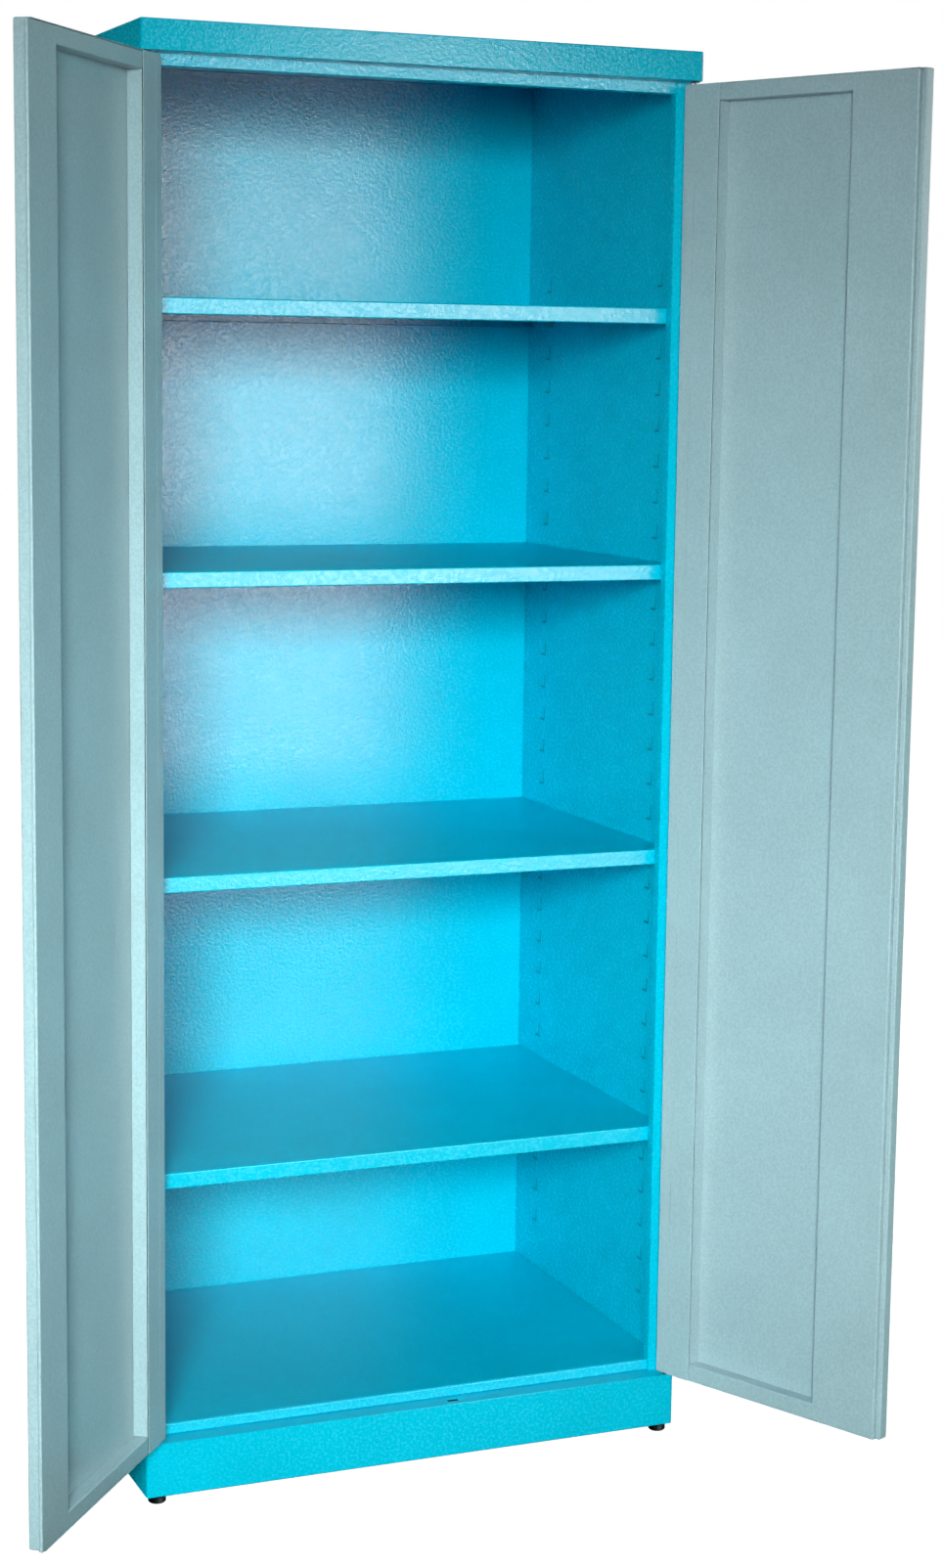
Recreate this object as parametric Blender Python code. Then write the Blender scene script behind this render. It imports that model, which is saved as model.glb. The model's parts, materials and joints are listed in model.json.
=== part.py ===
"""A sheet-steel tool cabinet with two hinged doors and four adjustable shelves, its doors standing open."""

import math

import bmesh
import bpy
from mathutils import Vector

# Frame: +X to the right along the front, the front faces -Y, +Z up.
# While the pieces are made, y = 0 is the inner face of the closed doors and z = 0 is the ground.

# Overall size
cabinet_height = 1.930
cabinet_width = 0.780
cabinet_depth = 0.563

# Sheets, clearances and cuts
sheet = 0.001
cover_sheet = 0.0012
fit_gap = 0.0003
overrun = 0.010
round_steps = 24
small_round_steps = 16

# Cap and plinth
cap_height = 0.039
plinth_height = 0.074
ground_clearance = 0.010
corner_radius = 0.004
corner_steps = 3
side_overhang = 0.0035
plinth_flange = 0.020
plinth_foot_flange = 0.034

# Side panels and their shelf slots
seat_gap = 0.001
stile_width = 0.0245
stile_return = 0.0164
rear_flange = 0.020
slot_pitch = 0.050
slot_height = 0.020
slot_width = 0.003
slot_foot_reach = 0.013
slot_foot_height = 0.0025
slot_top_drop = 0.298
slot_floor_rise = 0.0815
front_slot_setback = 0.0795
rear_slot_inset = 0.0782

# Header rail, sill rail and floor panel
header_drop = 0.016
rail_depth = 0.016
floor_rise = 0.0165
floor_setback = 0.003
floor_lip = 0.0125
sill_depth = 0.025
sill_step = 0.0015

# Shelves and their clips
shelf_setback = 0.0175
shelf_edge = 0.0215
shelf_hem = 0.012
shelf_row_shares = (0.97, 0.72, 0.45, 0.17)
shelf_above_slot = 0.009
clip_sheet = 0.0015
clip_seat = 0.014
clip_leg = 0.0195
clip_length = 0.022
clip_tongue_width = 0.0024
clip_tongue_height = 0.010
clip_tongue_drop = 0.0045
clip_hook_drop = 0.006

# Doors: u runs from the hinge edge, t from the inner face to the outer face
door_thickness = 0.023
door_margin = 0.005
door_top_gap = 0.006
door_bottom_gap = 0.008
meeting_gap = 0.004
cap_lap = 0.001
hinge_return = 0.0197
hinge_stile_edge = 0.0595
top_rail = 0.0229
bottom_rail = 0.0236
left_free_stile = 0.069
right_free_stile = 0.102
left_lip = 0.008
lip_thickness = 0.0047
lap_step = 0.0075
lap_clearance = 0.0018
right_open_angle = math.radians(114.2)
left_open_angle = math.radians(128.3)

# Door pivots
pivot_inset = 0.004
pivot_depth = 0.0044
pivot_radius = 0.0025
pivot_block_length = 0.0157
pivot_block_depth = 0.012
pivot_block_height = 0.012
pivot_reach = 0.0065
bush_radius = 0.004
bush_flange_radius = 0.0052
bush_flange = 0.0015
bush_length = 0.006
collar_radius = 0.0045

# Lock: cam, spindle, handle and rods
lock_height = 0.985
lock_setback = 0.053
cam_radius = 0.031
cam_thickness = 0.003
cam_depth = 0.0135
cam_start_radius = 0.012
cam_slot_margin = math.radians(14)
cam_slot_steps = 14
rod_travel = 0.014
lock_turn = math.radians(90)
rod_width = 0.012
rod_thickness = 0.004
rod_depth = 0.007
rod_pin_radius = 0.0024
rod_end_margin = 0.006
rod_tip_sink = 0.001
rod_tip_taper = 0.006
keeper_clearance = 0.002
guide_wall = 0.002
guide_length = 0.012
guide_flange = 0.0015
guide_flange_rim = 0.002
spindle_radius = 0.004
spindle_socket = 0.010
lock_bush_radius = 0.009
lock_bush_flange_radius = 0.016
lock_bush_flange = 0.002
lock_nut_radius = 0.013
lock_nut_thickness = 0.004
hub_radius = 0.015
hub_height = 0.024
lever_length = 0.095
lever_width = 0.018
lever_thickness = 0.012
lever_bevel = 0.002
plug_radius = 0.006
plug_length = 0.010
keyway_width = 0.0014
keyway_height = 0.007
keyway_depth = 0.004

# Levelling feet
foot_inset = 0.018
foot_setback = 0.012
foot_radius = 0.012
foot_bevel = 0.0015
stud_radius = 0.005
stud_length = 0.040
nut_radius = 0.0095
nut_height = 0.008

# Places worked out from the sizes above
half_width = cabinet_width / 2
body_half = half_width - side_overhang
wall_x = body_half - sheet
opening_half = body_half - stile_width
front_y = -(door_thickness + cap_lap)
cover_rear_y = front_y + cabinet_depth
body_rear_y = cover_rear_y - cover_sheet - fit_gap
back_y = body_rear_y - sheet - fit_gap - sheet
return_y = seat_gap + stile_return
cap_bottom = cabinet_height - cap_height
roof_under = cabinet_height - cover_sheet
plinth_top = ground_clearance + plinth_height
body_bottom = plinth_top + fit_gap
body_top = roof_under - fit_gap
floor_top = plinth_top + floor_rise
front_slot_y = seat_gap + front_slot_setback
rear_slot_y = back_y - rear_slot_inset
lowest_slot_z = floor_top + slot_floor_rise
last_slot_row = round((cabinet_height - slot_top_drop - lowest_slot_z) / slot_pitch)
door_low = plinth_top + door_bottom_gap
door_high = cap_bottom - door_top_gap
recess_low = door_low + bottom_rail
recess_high = door_high - top_rail
hinge_edge_x = half_width - door_margin
door_width = hinge_edge_x - meeting_gap / 2
frame_plane = sheet + fit_gap
frame_back = door_thickness - sheet - fit_gap
axis_x = hinge_edge_x - pivot_inset
axis_t = door_thickness - pivot_depth
lip_back = frame_plane + lip_thickness
lap_depth = lip_back + lap_clearance
lock_u = door_width - lock_setback
rod_mid_t = rod_depth + rod_thickness / 2


def clear_scene():
    """Removes whatever the scene already holds."""
    for thing in list(bpy.data.objects):
        bpy.data.objects.remove(thing, do_unlink=True)


def material(name, colour, roughness, metallic):
    """A plain finish, made new for each piece."""
    finish = bpy.data.materials.new(name)
    finish.use_nodes = True
    shader = finish.node_tree.nodes["Principled BSDF"]
    shader.inputs["Base Color"].default_value = (*colour, 1)
    shader.inputs["Roughness"].default_value = roughness
    shader.inputs["Metallic"].default_value = metallic
    return finish


def blue_paint(name):
    """Sky-blue textured powder coat of the body."""
    return material(name + "_paint", (0.05, 0.48, 0.72), 0.45, 0)


def grey_paint(name):
    """Light grey powder coat of the doors."""
    return material(name + "_paint", (0.62, 0.65, 0.66), 0.45, 0)


def bright_steel(name):
    """Zinc-plated steel of the small hardware."""
    return material(name + "_zinc", (0.70, 0.71, 0.72), 0.35, 1)


def dark_steel(name):
    """Dark oiled steel of the feet."""
    return material(name + "_steel", (0.13, 0.14, 0.15), 0.5, 1)


def black_plastic(name):
    """Moulded black plastic of the bushes and the handle."""
    return material(name + "_plastic", (0.03, 0.03, 0.035), 0.4, 0)


def place(axis, first, second, along):
    """A point from two places across an axis and one along it."""
    if axis == "X":
        return Vector((along, first, second))
    if axis == "Y":
        return Vector((first, along, second))
    return Vector((first, second, along))


def prism(outline, axis, low, high):
    """A closed solid: an outline across the axis, extruded from low to high."""
    mesh = bmesh.new()
    face = mesh.faces.new([mesh.verts.new(place(axis, a, b, low)) for a, b in outline])
    grown = bmesh.ops.extrude_face_region(mesh, geom=[face])
    moved = [item for item in grown["geom"] if isinstance(item, bmesh.types.BMVert)]
    bmesh.ops.translate(mesh, verts=moved, vec=place(axis, 0, 0, high - low))
    bmesh.ops.recalc_face_normals(mesh, faces=mesh.faces)
    return mesh


def rectangle(low, high):
    """The outline of a rectangle between two corners."""
    return [low, (high[0], low[1]), high, (low[0], high[1])]


def block(low, high):
    """A box between two corners."""
    return prism(rectangle(low[:2], high[:2]), "Z", low[2], high[2])


def circle(centre, radius, steps):
    """The outline of a circle as a polygon."""
    turns = [math.tau * step / steps for step in range(steps)]
    return [(centre[0] + radius * math.cos(turn), centre[1] + radius * math.sin(turn)) for turn in turns]


def capsule(centre, radius, reach, steps):
    """The outline of a bar with round ends, from its centre to a reach along the first direction."""
    half = steps // 2
    outline = []
    for step in range(half + 1):
        turn = math.pi / 2 + math.pi * step / half
        outline.append((centre[0] + radius * math.cos(turn), centre[1] + radius * math.sin(turn)))
    for step in range(half + 1):
        turn = -math.pi / 2 + math.pi * step / half
        outline.append((centre[0] + reach + radius * math.cos(turn), centre[1] + radius * math.sin(turn)))
    return outline


def folded(path, thickness):
    """The outline of a sheet folded along a path, with its thickness on the path's left."""
    points = [Vector(point) for point in path]
    normals = []
    for start, end in zip(points, points[1:]):
        run = (end - start).normalized()
        normals.append(Vector((-run.y, run.x)))
    before = [normals[0]] + normals
    after = normals + [normals[-1]]
    inner = []
    for point, left, right in zip(points, before, after):
        inner.append(point + (left + right) * (thickness / (1 + left.dot(right))))
    return [tuple(point) for point in points + inner[::-1]]


def mirrored(outline):
    """The same outline with its first coordinate turned round."""
    return [(-a, b) for a, b in outline]


def round_uprights(mesh, radius, steps):
    """Rounds the tall upright edges of a solid."""
    tall = radius + 2 * overrun
    uprights = [edge for edge in mesh.edges if abs(edge.verts[0].co.z - edge.verts[1].co.z) > tall]
    bmesh.ops.bevel(mesh, geom=uprights, offset=radius, segments=steps, affect="EDGES", profile=0.5)
    return mesh


def merged(*meshes):
    """Several solids that don't touch, in one mesh, for one cut."""
    result = bmesh.new()
    for mesh in meshes:
        copy = bpy.data.meshes.new("cut_part")
        mesh.to_mesh(copy)
        result.from_mesh(copy)
        bpy.data.meshes.remove(copy)
        mesh.free()
    return result


def make(name, mesh, finish, parent=None, smooth=False):
    """A named piece from a solid."""
    data = bpy.data.meshes.new(name)
    mesh.to_mesh(data)
    mesh.free()
    if smooth:
        data.shade_smooth()
        data.set_sharp_from_angle(angle=math.radians(35))
    if finish:
        data.materials.append(finish)
    piece = bpy.data.objects.new(name, data)
    bpy.context.collection.objects.link(piece)
    piece.parent = parent
    return piece


def tool(name, mesh, parent):
    """A hidden solid that cuts or joins a piece."""
    helper = make(name, mesh, None, parent)
    helper.hide_render = True
    helper.display_type = "WIRE"
    return helper


def change(piece, mesh, operation):
    """Cuts a solid out of a piece, or joins it on."""
    helper = tool(f"{piece.name}_tool_{len(piece.modifiers)}", mesh, piece.parent)
    step = piece.modifiers.new(operation.lower(), "BOOLEAN")
    step.operation = operation
    step.object = helper


def cut(piece, mesh):
    """Takes a solid out of a piece."""
    change(piece, mesh, "DIFFERENCE")


def weld(piece, mesh):
    """Joins a solid to a piece."""
    change(piece, mesh, "UNION")


def bevel_edges(piece, width, steps):
    """Breaks the sharp edges of a piece."""
    step = piece.modifiers.new("bevel", "BEVEL")
    step.width = width
    step.segments = steps
    step.limit_method = "ANGLE"
    step.angle_limit = math.radians(40)
    step.harden_normals = False


def empty(name, location, parent=None):
    """A bare frame that carries pieces."""
    frame = bpy.data.objects.new(name, None)
    bpy.context.collection.objects.link(frame)
    frame.location = location
    frame.parent = parent
    return frame


def pivot_x(side):
    """Where the hinge axis of a door stands: side is -1 for the left door and 1 for the right one."""
    return side * axis_x


def rod_centre():
    """Where the lock rods run, in plan, with the right door closed."""
    return hinge_edge_x - lock_u, -rod_mid_t


def cover_holes(low, high):
    """Holes through the cap's or the plinth's lip for both pivot bushes and one lock rod."""
    seats = [circle((pivot_x(side), -axis_t), bush_radius + fit_gap, small_round_steps) for side in (-1, 1)]
    x, y = rod_centre()
    half_x = rod_width / 2 + keeper_clearance
    half_y = rod_thickness / 2 + keeper_clearance
    keeper = rectangle((x - half_x, y - half_y), (x + half_x, y + half_y))
    return merged(*[prism(outline, "Z", low, high) for outline in seats + [keeper]])


def make_cap(root):
    """The top cap: a tray with its skirt down, closed below its front overhang by a lip."""
    outer = block((-half_width, front_y, cap_bottom), (half_width, cover_rear_y, cabinet_height))
    cap = make("top_cap", round_uprights(outer, corner_radius, corner_steps), blue_paint("top_cap"), root)
    inner_x = half_width - cover_sheet
    profile = [
        (front_y + cover_sheet, cap_bottom + cover_sheet),
        (seat_gap - fit_gap, cap_bottom + cover_sheet),
        (seat_gap - fit_gap, cap_bottom - overrun),
        (cover_rear_y - cover_sheet, cap_bottom - overrun),
        (cover_rear_y - cover_sheet, roof_under),
        (front_y + cover_sheet, roof_under),
    ]
    hollow = prism(profile, "X", -inner_x, inner_x)
    cut(cap, round_uprights(hollow, corner_radius - cover_sheet, corner_steps))
    cut(cap, cover_holes(cap_bottom - overrun, cap_bottom + overrun))
    return cap


def foot_places():
    """The plan places of the four levelling feet, by name."""
    places = {}
    for side, side_name in ((-1, "left"), (1, "right")):
        x = side * (half_width - foot_inset)
        places[f"front_{side_name}"] = (x, front_y + cover_sheet + foot_setback)
        places[f"rear_{side_name}"] = (x, cover_rear_y - foot_inset)
    return places


def plinth_frame(name, root):
    """The plinth's whole frame, with flanges inwards at its top and bottom."""
    outer = block((-half_width, front_y, ground_clearance), (half_width, cover_rear_y, plinth_top))
    plinth = make(name, round_uprights(outer, corner_radius, corner_steps), blue_paint(name), root)
    inner_x = half_width - cover_sheet
    low = ground_clearance + cover_sheet
    inner_rear = cover_rear_y - cover_sheet
    inner_top = plinth_top - cover_sheet
    hollow = block((-inner_x, front_y + cover_sheet, low), (inner_x, inner_rear, inner_top))
    cut(plinth, round_uprights(hollow, corner_radius - cover_sheet, corner_steps))
    top_x = half_width - plinth_flange
    top_front = seat_gap + sill_depth
    cut(plinth, block((-top_x, top_front, low), (top_x, cover_rear_y - plinth_flange, plinth_top + overrun)))
    foot_x = half_width - plinth_foot_flange
    foot_front = front_y + plinth_foot_flange
    foot_rear = cover_rear_y - plinth_foot_flange
    cut(plinth, block((-foot_x, foot_front, 0), (foot_x, foot_rear, low + overrun)))
    cut(plinth, cover_holes(plinth_top - overrun, plinth_top + overrun))
    holes = [circle(centre, stud_radius + fit_gap, small_round_steps) for centre in foot_places().values()]
    cut(plinth, merged(*[prism(hole, "Z", 0, low + overrun) for hole in holes]))
    return plinth


def make_plinth(root):
    """The plinth in four channels: each is the stretch of the frame that lies in its own block."""
    front_end = seat_gap + sill_depth
    rear_end = cover_rear_y - plinth_foot_flange
    side_x = half_width - plinth_foot_flange
    outer_x = half_width + overrun
    near = front_y - overrun
    far = cover_rear_y + overrun
    high = plinth_top + overrun
    stretches = {
        "plinth_front": block((-outer_x, near, 0), (outer_x, front_end, high)),
        "plinth_rear": block((-outer_x, rear_end, 0), (outer_x, far, high)),
        "plinth_left": block((-outer_x, front_end + fit_gap, 0), (-side_x, rear_end - fit_gap, high)),
        "plinth_right": block((side_x, front_end + fit_gap, 0), (outer_x, rear_end - fit_gap, high)),
    }
    for name, stretch in stretches.items():
        change(plinth_frame(name, root), stretch, "INTERSECT")


def slot_heights():
    """The middle height of every shelf slot, from the floor up."""
    return [lowest_slot_z + slot_pitch * row for row in range(last_slot_row + 1)]


def slot_outline(y, z):
    """One shelf slot in y and z: an upright slit with a foot towards the rear."""
    near = y - slot_width / 2
    far = y + slot_width / 2
    low = z - slot_height / 2
    high = z + slot_height / 2
    foot = far + slot_foot_reach
    step = low + slot_foot_height
    return [(near, low), (foot, low), (foot, step), (far, step), (far, high), (near, high)]


def make_side_panel(side, name, root):
    """A side panel: wall, front stile with its return, rear flange and two columns of slots."""
    path = [
        (opening_half, return_y),
        (opening_half, seat_gap),
        (body_half, seat_gap),
        (body_half, body_rear_y),
        (body_half - rear_flange, body_rear_y),
    ]
    outline = folded(path, sheet)
    if side < 0:
        outline = mirrored(outline)
    panel = make(name, prism(outline, "Z", body_bottom, body_top), blue_paint(name), root)
    low_x = min(side * (wall_x - overrun), side * (body_half + overrun))
    high_x = max(side * (wall_x - overrun), side * (body_half + overrun))
    slots = []
    for y in (front_slot_y, rear_slot_y):
        for z in slot_heights():
            slots.append(prism(slot_outline(y, z), "X", low_x, high_x))
    cut(panel, merged(*slots))
    return panel


def make_back_panel(root):
    """The back panel, in front of the side panels' rear flanges."""
    edge = wall_x - fit_gap
    plate = block((-edge, back_y, body_bottom), (edge, back_y + sheet, body_top))
    return make("back_panel", plate, blue_paint("back_panel"), root)


def make_header_rail(root):
    """The rail across the top of the opening, a channel open to the rear."""
    low = cap_bottom - header_drop
    rear = seat_gap + rail_depth
    path = [(rear, body_top), (seat_gap, body_top), (seat_gap, low), (rear, low)]
    reach = opening_half - fit_gap
    rail = prism(folded(path, sheet), "X", -reach, reach)
    return make("header_rail", rail, blue_paint("header_rail"), root)


def make_sill_rail(root):
    """The rail under the floor panel's front edge, a channel open to the rear with a lip at its top."""
    front = seat_gap + floor_setback
    step = front + sill_step
    high = floor_top - sheet - fit_gap
    lip_low = floor_top - floor_lip
    rear = seat_gap + sill_depth
    upper = [(rear, high), (front, high), (front, lip_low)]
    lower = [(step, lip_low), (step, body_bottom), (rear, body_bottom)]
    reach = opening_half - fit_gap
    rail = prism(folded(upper + lower, sheet), "X", -reach, reach)
    return make("sill_rail", rail, blue_paint("sill_rail"), root)


def floor_outline(inset):
    """The floor panel's plan, notched round the stiles, drawn in by an inset."""
    front = seat_gap + floor_setback + inset
    notch_x = opening_half - fit_gap - inset
    notch_y = return_y + fit_gap + inset
    side_x = wall_x - fit_gap - inset
    rear = back_y - fit_gap - inset
    right = [(notch_x, front), (notch_x, notch_y), (side_x, notch_y), (side_x, rear)]
    return right + mirrored(right)[::-1]


def make_floor_panel(root):
    """The floor panel: a sheet with its side and rear edges folded down on to the plinth."""
    tray = prism(floor_outline(0), "Z", body_bottom, floor_top)
    floor = make("floor_panel", tray, blue_paint("floor_panel"), root)
    cut(floor, prism(floor_outline(sheet), "Z", body_bottom - overrun, floor_top - sheet))
    lip_start = seat_gap + sill_depth + fit_gap
    cut(floor, block((-half_width, front_y, 0), (half_width, lip_start, floor_top - sheet)))
    return floor


def shelf_tops():
    """The top of each shelf, from the top one down, in the slots nearest to its share of the height."""
    rows = [round(share * last_slot_row) for share in shelf_row_shares]
    return [lowest_slot_z + slot_pitch * row + shelf_above_slot for row in rows]


def make_shelf(number, top, root):
    """A shelf: a sheet with hemmed edges folded down at its front and rear."""
    front = seat_gap + shelf_setback
    rear = back_y - fit_gap
    low = top - shelf_edge
    rear_fold = [(rear - shelf_hem, low), (rear, low), (rear, top)]
    front_fold = [(front, top), (front, low), (front + shelf_hem, low)]
    reach = wall_x - fit_gap
    name = f"shelf_{number}"
    section = folded(rear_fold + front_fold, sheet)
    return make(name, prism(section, "X", -reach, reach), blue_paint(name), root)


def clip_mesh():
    """One shelf clip for the right wall: a seat, a leg, and a tongue hooked through the slot."""
    back = -fit_gap
    angle = [
        (back, 0),
        (back - clip_seat, 0),
        (back - clip_seat, -clip_sheet),
        (back - clip_sheet, -clip_sheet),
        (back - clip_sheet, -clip_leg),
        (back, -clip_leg),
    ]
    inner = back - clip_sheet / 2
    outer = sheet + fit_gap
    top = -clip_tongue_drop
    tongue = [
        (inner, top),
        (inner, top - clip_tongue_height),
        (outer, top - clip_tongue_height),
        (outer, top - clip_tongue_height - clip_hook_drop),
        (outer + clip_sheet, top - clip_tongue_height - clip_hook_drop),
        (outer + clip_sheet, top),
    ]
    clip = make("clip_form", prism(angle, "Y", -clip_length / 2, clip_length / 2), None)
    weld(clip, prism(tongue, "Y", -clip_tongue_width / 2, clip_tongue_width / 2))
    bpy.context.view_layer.update()
    solid = clip.evaluated_get(bpy.context.evaluated_depsgraph_get())
    mesh = bpy.data.meshes.new_from_object(solid)
    for helper in [clip, clip.modifiers[0].object]:
        bpy.data.objects.remove(helper, do_unlink=True)
    return mesh


def make_clips(number, top, form, root):
    """The four clips under one shelf."""
    height = top - sheet - fit_gap
    for side, side_name in ((-1, "left"), (1, "right")):
        for y, end_name in ((front_slot_y, "front"), (rear_slot_y, "rear")):
            name = f"shelf_{number}_clip_{end_name}_{side_name}"
            data = form.copy()
            data.materials.append(bright_steel(name))
            clip = bpy.data.objects.new(name, data)
            bpy.context.collection.objects.link(clip)
            clip.parent = root
            clip.location = (side * wall_x, y, height)
            clip.rotation_euler.z = 0 if side > 0 else math.pi


def door_outline(side, points):
    """Points across a door, as u and t, in the frame of its hinge axis with the door closed."""
    return [(side * (pivot_inset - u), axis_t - t) for u, t in points]


def door_block(side, low, high):
    """A box in a door, between corners given as u, t and z."""
    corners = door_outline(side, [low[:2], high[:2]])
    xs = sorted(corner[0] for corner in corners)
    ys = sorted(corner[1] for corner in corners)
    return block((xs[0], ys[0], low[2]), (xs[1], ys[1], high[2]))


def door_section(side, points, low, high):
    """An upright extrusion of a section through a door."""
    return prism(door_outline(side, points), "Z", low, high)


def door_plate(side, points, near, far):
    """A solid from an outline in u and z, between two depths t."""
    outline = [(side * (pivot_inset - u), z) for u, z in points]
    return prism(outline, "Y", axis_t - far, axis_t - near)


def frame_end(side):
    """How far the inner frame reaches from the hinge edge, without the left door's lip."""
    if side < 0:
        return door_width - sheet - fit_gap
    return door_width - lap_step


def free_wall_depth(side):
    """The depth at which the skin's free edge starts, behind the lip or the lap."""
    if side < 0:
        return lip_back + fit_gap
    return lap_depth


def make_skin(side, name, parent):
    """The outer pan of a door: face, edge walls, the hinge side's return and the free edge."""
    whole = door_block(side, (0, 0, door_low), (door_width, door_thickness, door_high))
    skin = make(name, whole, grey_paint(name), parent)
    depth = free_wall_depth(side)
    hollow = [(sheet, sheet), (hinge_return, sheet), (hinge_return, -overrun)]
    if side < 0:
        hollow.append((door_width - sheet, -overrun))
    else:
        hem_end = door_width - lap_step + fit_gap
        hollow.extend([(hem_end, -overrun), (hem_end, depth + sheet), (door_width - sheet, depth + sheet)])
    hollow.extend([(door_width - sheet, door_thickness - sheet), (sheet, door_thickness - sheet)])
    cut(skin, door_section(side, hollow, door_low + sheet, door_high - sheet))
    step_u = frame_end(side) + fit_gap
    trim = [
        (hinge_return, -overrun),
        (door_width + overrun, -overrun),
        (door_width + overrun, depth),
        (step_u, depth),
        (step_u, frame_plane),
        (hinge_return, frame_plane),
    ]
    cut(skin, door_section(side, trim, door_low - overrun, door_high + overrun))
    holes = []
    pin_hole = circle((0, 0), pivot_radius + fit_gap, small_round_steps)
    for height in (door_low, door_high):
        holes.append(prism(pin_hole, "Z", height - sheet - fit_gap, height + sheet + fit_gap))
    cut(skin, merged(*holes))
    return skin


def frame_outline(side, inset):
    """The inner frame's outline in u and z, open towards the hinge side, drawn in by an inset."""
    near = hinge_return + fit_gap + inset
    far = frame_end(side) - inset
    low = door_low + sheet + fit_gap + inset
    high = door_high - sheet - fit_gap - inset
    free_stile = left_free_stile if side < 0 else right_free_stile
    stile_u = frame_end(side) - free_stile + inset
    top = recess_high + inset
    bottom = recess_low - inset
    return [
        (near, low),
        (far, low),
        (far, high),
        (near, high),
        (near, top),
        (stile_u, top),
        (stile_u, bottom),
        (near, bottom),
    ]


def make_frame(side, name, parent):
    """The inner frame of a door: two rails and the free-side stile, a channel open to the skin."""
    whole = door_plate(side, frame_outline(side, 0), frame_plane, frame_back)
    frame = make(name, whole, grey_paint(name), parent)
    if side < 0:
        far = frame_end(side)
        low = door_low + sheet + fit_gap
        high = door_high - sheet - fit_gap
        lip_end = door_width + left_lip
        weld(frame, door_block(side, (far - sheet, frame_plane, low), (lip_end, lip_back, high)))
        inner_low = (far - sheet - sheet, frame_plane + sheet, low + sheet)
        cut(frame, door_block(side, inner_low, (lip_end - sheet, lip_back - sheet, high - sheet)))
    cut(frame, door_plate(side, frame_outline(side, sheet), frame_plane + sheet, door_thickness))
    return frame


def make_hinge_stile(side, name, parent):
    """The hinge-side stile: a face plate, a recess wall and a joggle under the skin's return."""
    start = hinge_return + fit_gap
    section = [
        (start, 0),
        (hinge_stile_edge, 0),
        (hinge_stile_edge, frame_back),
        (hinge_stile_edge - sheet, frame_back),
        (hinge_stile_edge - sheet, sheet),
        (start + sheet, sheet),
        (start + sheet, frame_plane + sheet),
        (sheet + fit_gap, frame_plane + sheet),
        (sheet + fit_gap, frame_plane),
        (start, frame_plane),
    ]
    stile = make(name, door_section(side, section, door_low, door_high), grey_paint(name), parent)
    far = hinge_stile_edge + overrun
    ends = []
    for edge, end in ((door_low, recess_low + fit_gap), (door_high, recess_high - fit_gap)):
        past = edge + math.copysign(overrun, edge - end)
        near_corner = (-overrun, sheet, min(past, end))
        ends.append(door_block(side, near_corner, (far, door_thickness, max(past, end))))
    cut(stile, merged(*ends))
    return stile


def make_pivot(side, end, name, parent):
    """A pivot: a block fixed in the door's corner and its pin, end is 1 at the top and -1 at the bottom."""
    edge = door_high if end > 0 else door_low
    inner = edge - end * (sheet + fit_gap)
    low = min(inner, inner - end * pivot_block_height)
    high = max(inner, inner - end * pivot_block_height)
    near = (sheet + fit_gap, frame_back - pivot_block_depth, low)
    far = (sheet + fit_gap + pivot_block_length, frame_back, high)
    pivot = make(name, door_block(side, near, far), bright_steel(name), parent, smooth=True)
    cover = cap_bottom if end > 0 else plinth_top
    tip = cover + end * pivot_reach
    start = inner - end * pivot_block_height / 2
    pin = circle((0, 0), pivot_radius, small_round_steps)
    weld(pivot, prism(pin, "Z", min(start, tip), max(start, tip)))
    if end < 0:
        collar_low = cover + fit_gap + bush_flange + fit_gap
        collar = circle((0, 0), collar_radius, small_round_steps)
        weld(pivot, prism(collar, "Z", collar_low, edge - fit_gap))
    return pivot


def turned(outer, bore, low, high):
    """A plain ring about the upright through the frame's origin."""
    ring = prism(circle((0, 0), outer, round_steps), "Z", low, high)
    hole = prism(circle((0, 0), bore, small_round_steps), "Z", low - overrun, high + overrun)
    return ring, hole


def make_bush(side, end, name, root):
    """A flanged bush in the cap's or the plinth's lip, for one pivot pin."""
    cover = cap_bottom if end > 0 else plinth_top
    seat = cover - end * fit_gap
    face = seat - end * bush_flange
    tip = face + end * bush_length
    seat_frame = empty(name + "_seat", (pivot_x(side), -axis_t, 0), root)
    flange, bore = turned(bush_flange_radius, pivot_radius + fit_gap, min(seat, face), max(seat, face))
    bush = make(name, flange, black_plastic(name), seat_frame, smooth=True)
    weld(bush, prism(circle((0, 0), bush_radius, round_steps), "Z", min(face, tip), max(face, tip)))
    cut(bush, bore)
    return bush


def cam_curve(angle):
    """A point of the cam's scroll and the direction across it, by the angle from the upright."""
    rate = rod_travel / lock_turn
    radius = cam_start_radius + rate * angle
    point = Vector((-radius * math.sin(angle), radius * math.cos(angle)))
    along_x = -rate * math.sin(angle) - radius * math.cos(angle)
    along_z = rate * math.cos(angle) - radius * math.sin(angle)
    across = Vector((-along_z, along_x)).normalized()
    return point, across


def scroll_slot(half_turn):
    """The outline of one scroll slot about the cam's centre, in x and z."""
    half = rod_pin_radius + fit_gap
    start = -cam_slot_margin
    span = lock_turn + cam_slot_margin + cam_slot_margin
    inner = []
    outer = []
    for step in range(cam_slot_steps + 1):
        point, across = cam_curve(start + span * step / cam_slot_steps)
        inner.append((point + across * half) * half_turn)
        outer.append((point - across * half) * half_turn)
    return [tuple(point) for point in inner + outer[::-1]]


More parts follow.
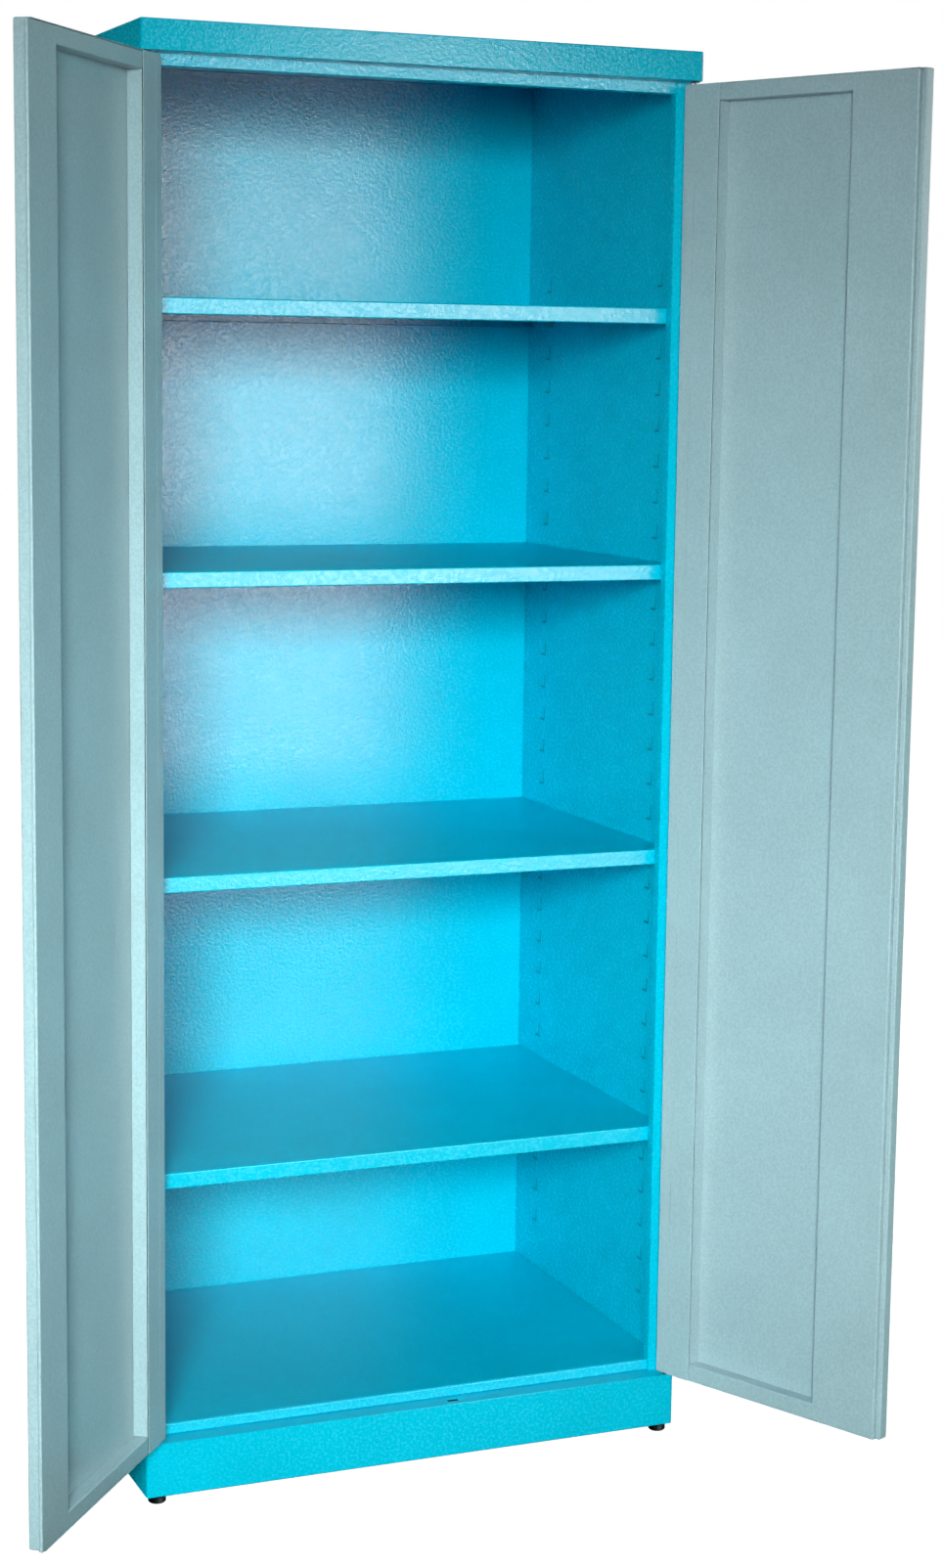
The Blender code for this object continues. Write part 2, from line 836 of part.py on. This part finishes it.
def make_cam(parent):
    """The lock cam: a disc with two scroll slots, one for each rod, and its spindle."""
    near = axis_t - cam_depth - cam_thickness
    disc = prism(circle((0, 0), cam_radius, round_steps), "Y", near, near + cam_thickness)
    cam = make("lock_cam", disc, bright_steel("lock_cam"), parent, smooth=True)
    past = near + cam_thickness + overrun
    cut(cam, merged(*[prism(scroll_slot(turn), "Y", near - overrun, past) for turn in (1, -1)]))
    tip = axis_t - handle_base() - spindle_socket + fit_gap
    weld(cam, prism(circle((0, 0), spindle_radius, small_round_steps), "Y", tip, near + cam_thickness / 2))
    return cam


def handle_base():
    """The depth t of the handle's under side."""
    return door_thickness + fit_gap + lock_bush_flange + fit_gap


def make_handle(parent):
    """The turning handle: hub and lever, with a socket for the spindle and a seat for the key plug."""
    under = axis_t - handle_base()
    top = under - hub_height
    hub = prism(circle((0, 0), hub_radius, round_steps), "Y", top, under)
    handle = make("handle", hub, black_plastic("handle"), parent, smooth=True)
    reach = lever_length - lever_width / 2
    lever = capsule((0, 0), lever_width / 2, reach, small_round_steps)
    weld(handle, prism(lever, "Y", top, top + lever_thickness))
    bevel_edges(handle, lever_bevel, 2)
    socket = circle((0, 0), spindle_radius + fit_gap, small_round_steps)
    cut(handle, prism(socket, "Y", under - spindle_socket, under + overrun))
    seat = circle((0, 0), plug_radius + fit_gap, round_steps)
    cut(handle, prism(seat, "Y", top - overrun, top + plug_length + fit_gap))
    return handle


def make_plug(parent):
    """The key plug in the handle's hub, with its keyway."""
    top = axis_t - handle_base() - hub_height
    barrel = prism(circle((0, 0), plug_radius, round_steps), "Y", top, top + plug_length)
    plug = make("key_plug", barrel, bright_steel("key_plug"), parent, smooth=True)
    low = (-keyway_width / 2, top - overrun, -keyway_height / 2)
    cut(plug, block(low, (keyway_width / 2, top + keyway_depth, keyway_height / 2)))
    return plug


def make_lock_bush(parent):
    """The flanged bush that carries the spindle through the door's skin."""
    outside = axis_t - door_thickness - fit_gap
    inside = axis_t - frame_back + lock_nut_thickness
    flange = circle((0, 0), lock_bush_flange_radius, round_steps)
    rim = prism(flange, "Y", outside - lock_bush_flange, outside)
    bush = make("lock_bush", rim, bright_steel("lock_bush"), parent, smooth=True)
    body = circle((0, 0), lock_bush_radius, round_steps)
    weld(bush, prism(body, "Y", outside - lock_bush_flange / 2, inside))
    bore = circle((0, 0), spindle_radius + fit_gap, small_round_steps)
    cut(bush, prism(bore, "Y", outside - lock_bush_flange - overrun, inside + overrun))
    return bush


def make_lock_nut(parent):
    """The nut that holds the lock bush from inside the door."""
    near = axis_t - frame_back
    nut = prism(circle((0, 0), lock_nut_radius, 6), "Y", near, near + lock_nut_thickness)
    piece = make("lock_nut", nut, bright_steel("lock_nut"), parent)
    bore = circle((0, 0), lock_bush_radius + fit_gap, round_steps)
    cut(piece, prism(bore, "Y", near - overrun, near + lock_nut_thickness + overrun))
    return piece


def make_rod(end, name, parent):
    """A flat lock rod with its tapered tip and the pin that rides in the cam, end is 1 up and -1 down."""
    edge = door_high if end > 0 else door_low
    tip = edge - end * rod_tip_sink
    shoulder = tip - end * rod_tip_taper
    root_end = lock_height + end * (cam_start_radius - rod_end_margin)
    half = rod_width / 2
    right_edge = [(half, root_end), (half, shoulder), (half / 2, tip)]
    outline = right_edge + mirrored(right_edge)[::-1]
    near = axis_t - rod_depth - rod_thickness
    rod = make(name, prism(outline, "Y", near, near + rod_thickness), bright_steel(name), parent)
    pin_centre = (0, lock_height + end * cam_start_radius)
    pin_end = axis_t - cam_depth - cam_thickness
    pin = circle(pin_centre, rod_pin_radius, small_round_steps)
    weld(rod, prism(pin, "Y", pin_end, near + rod_thickness / 2))
    return rod


def guide_half_sizes():
    """Half the guide's sleeve and half the rod's passage through it."""
    bore = (rod_width / 2 + fit_gap, rod_thickness / 2 + fit_gap)
    body = (bore[0] + guide_wall, bore[1] + guide_wall)
    return body, bore


def upright_box(centre, half, low, high):
    """A box about an upright line."""
    corner = (centre[0] - half[0], centre[1] - half[1], low)
    return block(corner, (centre[0] + half[0], centre[1] + half[1], high))


def make_guide(end, name, door, parent, pieces):
    """A sleeve that guides a rod through the door's end walls, and its passage through them."""
    edge = door_high if end > 0 else door_low
    body, bore = guide_half_sizes()
    centre = (0, axis_t - rod_mid_t)
    inner = edge - end * guide_length
    flange_face = edge - end * (sheet + fit_gap + sheet + fit_gap)
    flange_back = flange_face - end * guide_flange
    rim = (body[0] + guide_flange_rim, body[1] + guide_flange_rim)
    sleeve = upright_box(centre, body, min(edge, inner), max(edge, inner))
    guide = make(name, sleeve, black_plastic(name), parent)
    weld(guide, upright_box(centre, rim, min(flange_face, flange_back), max(flange_face, flange_back)))
    low = min(edge, inner) - overrun
    high = max(edge, inner) + overrun
    cut(guide, upright_box(centre, bore, low, high))
    hole = (body[0] + fit_gap, body[1] + fit_gap)
    low = edge - max(end, 0) * flange_thickness_sum() - overrun * (end < 0)
    high = low + flange_thickness_sum() + overrun
    for piece in pieces:
        x = pivot_inset - lock_u
        passage = upright_box((x, centre[1]), hole, low, high)
        cut(piece, passage)
    return guide


def flange_thickness_sum():
    """How deep a passage through the skin's and the frame's end walls is."""
    return sheet + fit_gap + sheet + fit_gap


def make_lock(door, skin, frame):
    """The lock on the right door, about the line of its spindle."""
    line = empty("lock_line", (pivot_inset - lock_u, 0, lock_height), door)
    upright = empty("rod_line", (pivot_inset - lock_u, 0, 0), door)
    make_cam(line)
    make_handle(line)
    make_plug(line)
    make_lock_bush(line)
    make_lock_nut(line)
    opening = circle((pivot_inset - lock_u, lock_height), lock_bush_radius + fit_gap, round_steps)
    cut(skin, prism(opening, "Y", axis_t - door_thickness - overrun, axis_t - frame_back))
    for end, name in ((1, "upper"), (-1, "lower")):
        make_rod(end, f"{name}_lock_rod", upright)
        make_guide(end, f"{name}_rod_guide", door, upright, [skin, frame])


def make_door(side, side_name, angle, root):
    """One door on its pivots, opened by an angle."""
    door = empty(f"{side_name}_door", (pivot_x(side), -axis_t, 0), root)
    skin = make_skin(side, f"{side_name}_door_skin", door)
    frame = make_frame(side, f"{side_name}_door_frame", door)
    make_hinge_stile(side, f"{side_name}_door_hinge_stile", door)
    for end, end_name in ((1, "top"), (-1, "bottom")):
        make_pivot(side, end, f"{side_name}_door_{end_name}_pivot", door)
        make_bush(side, end, f"{side_name}_{end_name}_pivot_bush", root)
    if side > 0:
        make_lock(door, skin, frame)
    door.rotation_euler.z = side * angle


def make_feet(root):
    """The four levelling feet: pad, stud and the nut that locks the stud above the plinth's flange."""
    for name, centre in foot_places().items():
        spot = empty(f"{name}_foot_spot", (*centre, 0), root)
        top = ground_clearance - fit_gap
        disc = prism(circle((0, 0), foot_radius, round_steps), "Z", 0, top)
        pad = make(f"{name}_foot", disc, dark_steel(name), spot, smooth=True)
        bevel_edges(pad, foot_bevel, 1)
        stud = circle((0, 0), stud_radius, small_round_steps)
        weld(pad, prism(stud, "Z", top / 2, top + stud_length))
        seat = ground_clearance + cover_sheet + fit_gap
        weld(pad, prism(circle((0, 0), nut_radius, 6), "Z", seat, seat + nut_height))


def centre_on_ground(root):
    """Moves the whole cabinet so that the middle of its footprint, doors open, is the origin."""
    bpy.context.view_layer.update()
    corners = []
    for thing in bpy.context.scene.objects:
        if thing.type == "MESH" and not thing.hide_render:
            corners.extend(thing.matrix_world @ Vector(corner) for corner in thing.bound_box)
    for index in (0, 1):
        values = [corner[index] for corner in corners]
        root.location[index] = -(min(values) + max(values)) / 2
    bpy.context.view_layer.update()


def main():
    """Builds the cabinet."""
    clear_scene()
    root = empty("cabinet", (0, 0, 0))
    make_cap(root)
    make_plinth(root)
    make_side_panel(-1, "left_side_panel", root)
    make_side_panel(1, "right_side_panel", root)
    make_back_panel(root)
    make_header_rail(root)
    make_sill_rail(root)
    make_floor_panel(root)
    form = clip_mesh()
    for number, top in enumerate(shelf_tops(), start=1):
        make_shelf(number, top, root)
        make_clips(number, top, form, root)
    bpy.data.meshes.remove(form)
    make_feet(root)
    make_door(-1, "left", left_open_angle, root)
    make_door(1, "right", right_open_angle, root)
    centre_on_ground(root)


main()
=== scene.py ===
"""The looks of a sheet-steel tool cabinet: finishes, rounded bends, small details, light and camera."""

import json
import math

import bmesh
import bpy
from mathutils import Matrix, Vector


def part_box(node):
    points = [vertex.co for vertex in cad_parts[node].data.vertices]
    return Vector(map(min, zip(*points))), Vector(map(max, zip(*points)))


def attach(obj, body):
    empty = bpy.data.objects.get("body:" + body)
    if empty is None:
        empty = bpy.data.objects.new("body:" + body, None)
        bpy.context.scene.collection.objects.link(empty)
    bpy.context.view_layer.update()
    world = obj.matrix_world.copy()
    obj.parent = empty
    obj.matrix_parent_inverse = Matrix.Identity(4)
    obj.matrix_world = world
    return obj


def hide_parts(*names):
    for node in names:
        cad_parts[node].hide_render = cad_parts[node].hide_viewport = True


# Lengths are in metres. Front faces -Y, right is +X. Local places are counted from the middle of the
# cabinet's front edge, at the inner face of its closed doors, on the ground.

# Rounding of folded sheet: outside of a bend, inside of a bend, and the sheet's own cut edges
bend_outside = 0.0019
bend_inside = 0.0009
cut_edge = 0.0003
round_segments = 3
thin_face = 0.0022
flat_angle = math.radians(0.6)
bend_angle = math.radians(40)
room_share = 0.4
weld_distance = 0.00002

# Shelf slots, and the dark plugs in them whose colour is painted shade
slot_columns = (0.0805, 0.457)
slot_rows = 30
lowest_slot_z = 0.182
slot_pitch = 0.050
slot_height = 0.020
slot_width = 0.003
slot_foot_reach = 0.013
slot_foot_height = 0.0025
shade_plug_inner_x = 0.3860
shade_plug_outer_x = 0.3864

# Camera
camera_place = Vector((-1.37512, -3.48358, 1.49696))
camera_yaw = math.radians(22.607)
camera_pitch = math.radians(-8.261)
camera_roll = math.radians(0.724)
focal_pixels = 2877.4
image_height = 1603
sensor = 36.0

view_reach = 200

# Light
beam_spread = math.radians(45)
cabinet_middle = (0, 0.2, 1.0)
fill_size = (1.6, 1.0)

# Paint and metal: noise scales in cycles for each metre
cloud_scale = 7.0
coat_ior = 1.5
speck_share = 1.2
fine_share = 3.3
fine_depth_share = 0.3
full_clouds = (0.96, 1.04)
dull_specks = (0.42, 0.58)
tinted_specks = (0.35, 0.65)
zinc_cloud_scale = 180.0
zinc_brush_scale = 900.0
steel_patch_scale = 260.0
plastic_grain_scale = 1400.0

# Ground, the painted shadow under the cabinet, and how far the cap stands in front of the closed doors' inner
# face
floor_size = 60.0
front_lap = 0.024
shade_half_width = 0.30
shade_y = (0.06, 0.47)
shade_z = 0.0003

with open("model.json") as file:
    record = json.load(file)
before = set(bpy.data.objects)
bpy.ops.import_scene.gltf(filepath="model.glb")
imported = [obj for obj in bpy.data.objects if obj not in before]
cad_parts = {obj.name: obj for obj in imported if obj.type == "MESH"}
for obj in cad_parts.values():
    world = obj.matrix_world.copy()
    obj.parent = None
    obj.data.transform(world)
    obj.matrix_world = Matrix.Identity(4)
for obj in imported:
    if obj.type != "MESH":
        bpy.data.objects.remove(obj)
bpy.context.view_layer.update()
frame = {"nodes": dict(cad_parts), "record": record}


def local_origin():
    """Where the middle of the cabinet's front edge is."""
    low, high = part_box("top_cap")
    return Vector(((low[0] + high[0]) / 2, low[1] + front_lap, 0))


origin = local_origin()


class Nodes:
    """A small helper that adds shader nodes and joins them."""

    def __init__(self, name):
        self.material = bpy.data.materials.new(name)
        self.material.use_nodes = True
        self.tree = self.material.node_tree
        self.tree.nodes.clear()
        self.output = self.add("ShaderNodeOutputMaterial")
        self.shader = self.add("ShaderNodeBsdfPrincipled")
        self.join(self.shader, "BSDF", self.output, "Surface")
        self.coordinates = self.add("ShaderNodeTexCoord")

    def add(self, kind, **values):
        """A new node, with its sockets and settings."""
        node = self.tree.nodes.new(kind)
        for key, value in values.items():
            if key in node.inputs:
                node.inputs[key].default_value = value
            else:
                setattr(node, key, value)
        return node

    def join(self, source, output, target, entry):
        """Joins an output to an input."""
        self.tree.links.new(source.outputs[output], target.inputs[entry])

    def constant(self, **values):
        """Sets the shader's own sockets."""
        for key, value in values.items():
            self.shader.inputs[key.replace("_", " ")].default_value = value

    def noise(self, scale, detail=2.0, roughness=0.5, stretch=None):
        """Noise over the object's own coordinates, scale in cycles for each metre."""
        noise = self.add("ShaderNodeTexNoise", Scale=scale, Detail=detail, Roughness=roughness)
        source = self.coordinates
        if stretch:
            mapping = self.add("ShaderNodeMapping", Scale=stretch)
            self.join(source, "Object", mapping, "Vector")
            self.join(mapping, "Vector", noise, "Vector")
        else:
            self.join(source, "Object", noise, "Vector")
        return noise

    def ramp(self, source, output, stops):
        """A colour ramp from pairs of a position and a colour."""
        ramp = self.add("ShaderNodeValToRGB")
        elements = ramp.color_ramp.elements
        while len(elements) < len(stops):
            elements.new(0.5)
        for element, (position, colour) in zip(elements, stops):
            element.position = position
            element.color = (*colour, 1)
        self.join(source, output, ramp, "Fac")
        return ramp

    def band(self, source, output, low, high):
        """A value spread over a range."""
        band = self.add("ShaderNodeMapRange")
        band.inputs["To Min"].default_value = low
        band.inputs["To Max"].default_value = high
        self.join(source, output, band, "Value")
        return band

    def bump(self, source, output, distance, strength=1.0, before=None):
        """A bump from a height in shares of a distance."""
        bump = self.add("ShaderNodeBump", Strength=strength, Distance=distance)
        self.join(source, output, bump, "Height")
        if before:
            self.join(before, "Normal", bump, "Normal")
        return bump


def shade(colour, factor):
    """A colour made lighter or darker."""
    return tuple(min(1.0, part * factor) for part in colour)


def textured_coat(name, colour, rough, dull_rough, level_rough, grain, depth, speckle):
    """Powder coat: an orange peel, faint clouds and flecks, and a duller gloss on flecks and level faces."""
    nodes = Nodes(name)
    clouds = nodes.noise(cloud_scale, 3.0, 0.6)
    darker, lighter = (shade(colour, factor) for factor in full_clouds)
    tint = nodes.ramp(clouds, "Fac", [(0.3, darker), (0.7, lighter)])
    specks = nodes.noise(grain * speck_share, 1.0, 0.5)
    low, high = tinted_specks
    fleck = nodes.ramp(specks, "Fac", [(low, (1 - speckle,) * 3), (high, (1.0,) * 3)])
    mixed = nodes.add("ShaderNodeMix", data_type="RGBA", blend_type="MULTIPLY")
    mixed.inputs["Factor"].default_value = 1.0
    nodes.join(tint, "Color", mixed, "A")
    nodes.join(fleck, "Color", mixed, "B")
    nodes.join(mixed, "Result", nodes.shader, "Base Color")
    peel = nodes.noise(grain, 2.0, 0.55)
    fine = nodes.noise(grain * fine_share, 1.0, 0.5)
    first = nodes.bump(peel, "Fac", depth)
    second = nodes.bump(fine, "Fac", depth * fine_depth_share, before=first)
    nodes.join(second, "Normal", nodes.shader, "Normal")
    facing = nodes.add("ShaderNodeNewGeometry")
    parts = nodes.add("ShaderNodeSeparateXYZ")
    nodes.join(facing, "True Normal", parts, "Vector")
    upward = nodes.add("ShaderNodeMath", operation="ABSOLUTE")
    nodes.join(parts, "Z", upward, 0)
    level = nodes.band(upward, "Value", rough, level_rough)
    low, high = dull_specks
    dull = nodes.ramp(specks, "Fac", [(low, (rough,) * 3), (high, (dull_rough,) * 3)])
    gloss = nodes.add("ShaderNodeMath", operation="MAXIMUM")
    nodes.join(level, "Result", gloss, 0)
    nodes.join(dull, "Color", gloss, 1)
    nodes.join(gloss, "Value", nodes.shader, "Roughness")
    nodes.constant(IOR=coat_ior)
    return nodes.material


def zinc_plate(name):
    """Bright zinc plate with faint clouds."""
    nodes = Nodes(name)
    clouds = nodes.noise(zinc_cloud_scale, 3.0, 0.6)
    tint = nodes.ramp(clouds, "Fac", [(0.3, (0.55, 0.56, 0.58)), (0.7, (0.74, 0.74, 0.73))])
    nodes.join(tint, "Color", nodes.shader, "Base Color")
    gloss = nodes.band(clouds, "Fac", 0.25, 0.42)
    nodes.join(gloss, "Result", nodes.shader, "Roughness")
    brushed = nodes.noise(zinc_brush_scale, 2.0, 0.5, stretch=(1, 1, 0.08))
    rubbed = nodes.bump(brushed, "Fac", 0.00003)
    nodes.join(rubbed, "Normal", nodes.shader, "Normal")
    nodes.constant(Metallic=1.0)
    return nodes.material


def oiled_steel(name):
    """Dark steel of the feet, with worn lighter patches."""
    nodes = Nodes(name)
    patches = nodes.noise(steel_patch_scale, 4.0, 0.65)
    tint = nodes.ramp(patches, "Fac", [(0.35, (0.06, 0.065, 0.07)), (0.7, (0.20, 0.21, 0.22))])
    nodes.join(tint, "Color", nodes.shader, "Base Color")
    gloss = nodes.band(patches, "Fac", 0.35, 0.6)
    nodes.join(gloss, "Result", nodes.shader, "Roughness")
    pits = nodes.bump(patches, "Fac", 0.0001)
    nodes.join(pits, "Normal", nodes.shader, "Normal")
    nodes.constant(Metallic=1.0)
    return nodes.material


def moulded_plastic(name):
    """Black moulded plastic with a fine spark-eroded grain."""
    nodes = Nodes(name)
    grain = nodes.noise(plastic_grain_scale, 2.0, 0.6)
    tint = nodes.ramp(grain, "Fac", [(0.3, (0.018, 0.018, 0.020)), (0.7, (0.035, 0.035, 0.038))])
    nodes.join(tint, "Color", nodes.shader, "Base Color")
    gloss = nodes.band(grain, "Fac", 0.36, 0.5)
    nodes.join(gloss, "Result", nodes.shader, "Roughness")
    pits = nodes.bump(grain, "Fac", 0.00005)
    nodes.join(pits, "Normal", nodes.shader, "Normal")
    return nodes.material


def finishes():
    """One material for each slot of the record."""
    return {
        "body_paint": textured_coat("blue_coat", (0.0, 0.55, 0.74), 0.09, 0.32, 0.34, 210.0, 0.0005, 0.06),
        "door_paint": textured_coat("grey_coat", (0.53, 0.575, 0.61), 0.30, 0.40, 0.33, 240.0, 0.0003, 0.13),
        "zinc_steel": zinc_plate("zinc_plate"),
        "foot_steel": oiled_steel("oiled_steel"),
        "black_plastic": moulded_plastic("moulded_plastic"),
        # Painted shade: the dark blue of the plugs that make the shelf slots look dark
        "slot_shade_paint": textured_coat("painted_slot_shade", (0.0, 0.13, 0.20), 0.6, 0.6, 0.6, 300.0, 0.0001, 0.1),
    }


def slots_of_nodes():
    """The material slot of every CAD node."""
    return {part["node"]: part["material_slot"] for part in frame["record"]["subparts"]}


def body_of(node):
    """The body that a CAD node rides on."""
    for name, nodes in frame["record"]["behaviour"]["bodies"].items():
        if node in nodes:
            return name
    raise ValueError(node)


def face_width(face):
    """The mean width of a long face."""
    return 2 * face.calc_area() / face.calc_perimeter()


def clean_copy(node):
    """A CAD node's solid with its split corners joined and its flat faces whole."""
    solid = bmesh.new()
    solid.from_mesh(frame["nodes"][node].data)
    bmesh.ops.remove_doubles(solid, verts=solid.verts, dist=weld_distance)
    bmesh.ops.dissolve_limit(solid, angle_limit=flat_angle, verts=solid.verts, edges=solid.edges)
    return solid


def width_at(edge, face):
    """How wide a face is at the middle of one of its edges."""
    loop = next(loop for loop in edge.link_loops if loop.face == face)
    start = loop.vert.co
    end = loop.link_loop_next.vert.co
    middle = (start + end) / 2
    along = (end - start).normalized()
    inward = face.normal.cross(along)
    nearest = math.inf
    for other in face.loops:
        first = other.vert.co - middle
        second = other.link_loop_next.vert.co - middle
        near, far = first.dot(along), second.dot(along)
        if near * far > 0 or near == far:
            continue
        height = first.dot(inward) + (second - first).dot(inward) * near / (near - far)
        if height > weld_distance:
            nearest = min(nearest, height)
    return nearest


def weigh_edges(solid):
    """Says how far each edge is rounded: the outside and the inside of bends, and cut edges."""
    layer = solid.edges.layers.float.new("bevel_weight_edge")
    for edge in solid.edges:
        if len(edge.link_faces) != 2 or edge.calc_face_angle() < bend_angle:
            continue
        width = min(width_at(edge, face) for face in edge.link_faces)
        is_short = edge.calc_length() < thin_face
        is_corner = is_short and all(face_width(face) < thin_face for face in edge.link_faces)
        if width < thin_face or is_corner:
            reach = cut_edge
        elif edge.calc_face_angle_signed() > 0:
            reach = bend_outside
        else:
            reach = bend_inside
        edge[layer] = min(reach, width * room_share) / bend_outside


def rounded(node, finish):
    """A piece that stands for a sheet-metal CAD node, with its bends and edges rounded."""
    solid = clean_copy(node)
    weigh_edges(solid)
    mesh = bpy.data.meshes.new(node + "_sheet")
    solid.to_mesh(mesh)
    solid.free()
    if "custom_normal" in mesh.attributes:
        mesh.attributes.remove(mesh.attributes["custom_normal"])
    mesh.shade_smooth()
    mesh.materials.clear()
    mesh.materials.append(finish)
    piece = bpy.data.objects.new(node + "_sheet", mesh)
    bpy.context.collection.objects.link(piece)
    bevel = piece.modifiers.new("bends", "BEVEL")
    bevel.limit_method = "WEIGHT"
    bevel.width = bend_outside
    bevel.segments = round_segments
    bevel.use_clamp_overlap = False
    bevel.harden_normals = True
    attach(piece, body_of(node))
    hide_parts(node)
    return piece


def slot_outline(y, z):
    """One shelf slot in y and z: an upright slit with a foot towards the rear."""
    near = y - slot_width / 2
    far = y + slot_width / 2
    low = z - slot_height / 2
    high = z + slot_height / 2
    foot = far + slot_foot_reach
    step = low + slot_foot_height
    return [(near, low), (foot, low), (foot, step), (far, step), (far, high), (near, high)]


def slot_shade_plugs(side, name, finish):
    """Thin dark plugs set in the shelf slots at the outer face of a side panel: their dark colour is painted
    shade inside the slots.
    """
    points = []
    faces = []
    for y in slot_columns:
        for row in range(slot_rows):
            outline = slot_outline(y, lowest_slot_z + slot_pitch * row)
            first = len(points)
            count = len(outline)
            for x in (shade_plug_inner_x, shade_plug_outer_x):
                points += [(side * x + origin.x, a + origin.y, b) for a, b in outline]
            ring = range(count)
            faces.append([first + step for step in reversed(ring)])
            faces.append([first + count + step for step in ring])
            for step in ring:
                after = (step + 1) % count
                faces.append([first + step, first + after, first + count + after, first + count + step])
    mesh = bpy.data.meshes.new(name)
    mesh.from_pydata(points, [], faces)
    solid = bmesh.new()
    solid.from_mesh(mesh)
    bmesh.ops.recalc_face_normals(solid, faces=solid.faces)
    solid.to_mesh(mesh)
    solid.free()
    mesh.materials.append(finish)
    shade_plugs = bpy.data.objects.new(name, mesh)
    bpy.context.collection.objects.link(shade_plugs)
    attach(shade_plugs, "cabinet")


def dress():
    """Rounds the painted sheets and repaints every other node."""
    finish = finishes()
    for node, slot in slots_of_nodes().items():
        if slot in ("body_paint", "door_paint"):
            rounded(node, finish[slot])
        else:
            for place in frame["nodes"][node].material_slots:
                place.material = finish[slot]
    # Dark plugs in the shelf slots: painted shade
    slot_shade_plugs(-1, "left_slot_shade_plugs", finish["slot_shade_paint"])
    slot_shade_plugs(1, "right_slot_shade_plugs", finish["slot_shade_paint"])


def add_camera():
    """The camera at the photograph's point of view."""
    forward = Vector((
        math.sin(camera_yaw) * math.cos(camera_pitch),
        math.cos(camera_yaw) * math.cos(camera_pitch),
        math.sin(camera_pitch),
    ))
    level = Vector((math.cos(camera_yaw), -math.sin(camera_yaw), 0))
    upright = level.cross(forward)
    right = math.cos(camera_roll) * level + math.sin(camera_roll) * upright
    up = -math.sin(camera_roll) * level + math.cos(camera_roll) * upright
    data = bpy.data.cameras.new("view")
    data.sensor_width = sensor
    data.lens = focal_pixels / image_height * sensor
    data.clip_end = view_reach
    camera = bpy.data.objects.new("view", data)
    bpy.context.collection.objects.link(camera)
    turn = Matrix((right, up, -forward)).transposed().to_4x4()
    camera.matrix_world = Matrix.Translation(camera_place + origin) @ turn
    bpy.context.scene.camera = camera


def area_light(name, place, target, size, power, colour=(1, 1, 1), diffuse=True, glossy=False):
    """A soft rectangular light, by its place, the point that it faces and its power."""
    data = bpy.data.lights.new(name, "AREA")
    data.shape = "RECTANGLE"
    data.size = size[0]
    data.size_y = size[1]
    data.energy = power
    data.color = colour
    light = bpy.data.objects.new(name, data)
    bpy.context.collection.objects.link(light)
    towards = Vector(target) - Vector(place)
    turn = towards.to_track_quat("-Z", "Y").to_matrix().to_4x4()
    light.matrix_world = Matrix.Translation(Vector(place) + origin) @ turn
    light.visible_camera = False
    light.visible_diffuse = diffuse
    light.visible_glossy = glossy
    return light


def add_lights():
    """A beam from the front left, a window seen only in reflections, and gentle fills on every side."""
    beam = area_light("beam", (-2.0, -4.6, 1.95), (0, 0.2, 0.46), (1.2, 1.0), 25.5, (0.66, 1, 1))
    beam.data.spread = beam_spread
    area_light("right_fill", (5.08, -2.73, 2.25), cabinet_middle, fill_size, 38, (0.4, 1, 1))
    area_light("high_right", (2.60, -1.30, 6.20), cabinet_middle, fill_size, 20)
    area_light("left_fill", (-5.19, -2.80, 1.95), cabinet_middle, fill_size, 22)
    area_light("high_front", (-2.28, -4.47, 4.0), cabinet_middle, fill_size, 6)
    area_light("from_ground", (0, -2.0, 0.03), (0, -2.0, 3.0), (4.0, 3.0), 8)
    area_light("window", (1.75, -4.6, 1.18), (1.75, 0, 1.18), (2.1, 2.32), 150, diffuse=False, glossy=True)
    area_light("edge_sheen", (4.06, -1.0, 1.9), (0.6, -0.46, 1.7), (0.8, 1.2), 20, diffuse=False, glossy=True)
    area_light("back_fill", (-3.0, 5.0, 4.0), (0, 0.3, 1.0), (4.0, 3.0), 120)
    area_light("back_right_fill", (5.0, 3.0, 3.0), (0, 0.3, 1.0), (3.0, 3.0), 60)


def add_world():
    """A pale surround that is seen but lights little."""
    world = bpy.data.worlds.new("pale")
    world.use_nodes = True
    back = world.node_tree.nodes["Background"]
    back.inputs["Color"].default_value = (1, 1, 1, 1)
    back.inputs["Strength"].default_value = 1.0
    world.cycles_visibility.diffuse = False
    world.cycles_visibility.glossy = False
    bpy.context.scene.world = world


def add_floor():
    """A plain pale floor."""
    half = floor_size / 2
    mesh = bpy.data.meshes.new("ground")
    corners = [(-half, -half, 0), (half, -half, 0), (half, half, 0), (-half, half, 0)]
    mesh.from_pydata(corners, [], [(0, 1, 2, 3)])
    nodes = Nodes("pale_ground")
    nodes.constant(Base_Color=(0.25, 0.25, 0.25, 1), Roughness=0.9)
    nodes.constant(Emission_Color=(1, 1, 1, 1), Emission_Strength=1.0)
    mesh.materials.append(nodes.material)
    ground = bpy.data.objects.new("ground", mesh)
    bpy.context.collection.objects.link(ground)
    ground.visible_diffuse = False
    ground.visible_glossy = False


def add_shade():
    """A painted shadow: a dark sheet on the ground under the cabinet, seen only through the openings in its
    plinth.
    """
    side = shade_half_width
    low, high = shade_y
    corners = [(-side, low), (side, low), (side, high), (-side, high)]
    mesh = bpy.data.meshes.new("ground_shade")
    mesh.from_pydata([(x + origin.x, y + origin.y, shade_z) for x, y in corners], [], [(0, 1, 2, 3)])
    nodes = Nodes("painted_ground_shadow")
    # Painted shadow: a near-black colour for the cabinet's shade on the ground
    nodes.constant(Base_Color=(0.01, 0.015, 0.02, 1), Roughness=0.9)
    mesh.materials.append(nodes.material)
    shade_piece = bpy.data.objects.new("ground_shade", mesh)
    bpy.context.collection.objects.link(shade_piece)


bpy.context.scene.view_settings.view_transform = "Standard"
dress()
add_camera()
add_lights()
add_world()
add_floor()
add_shade()
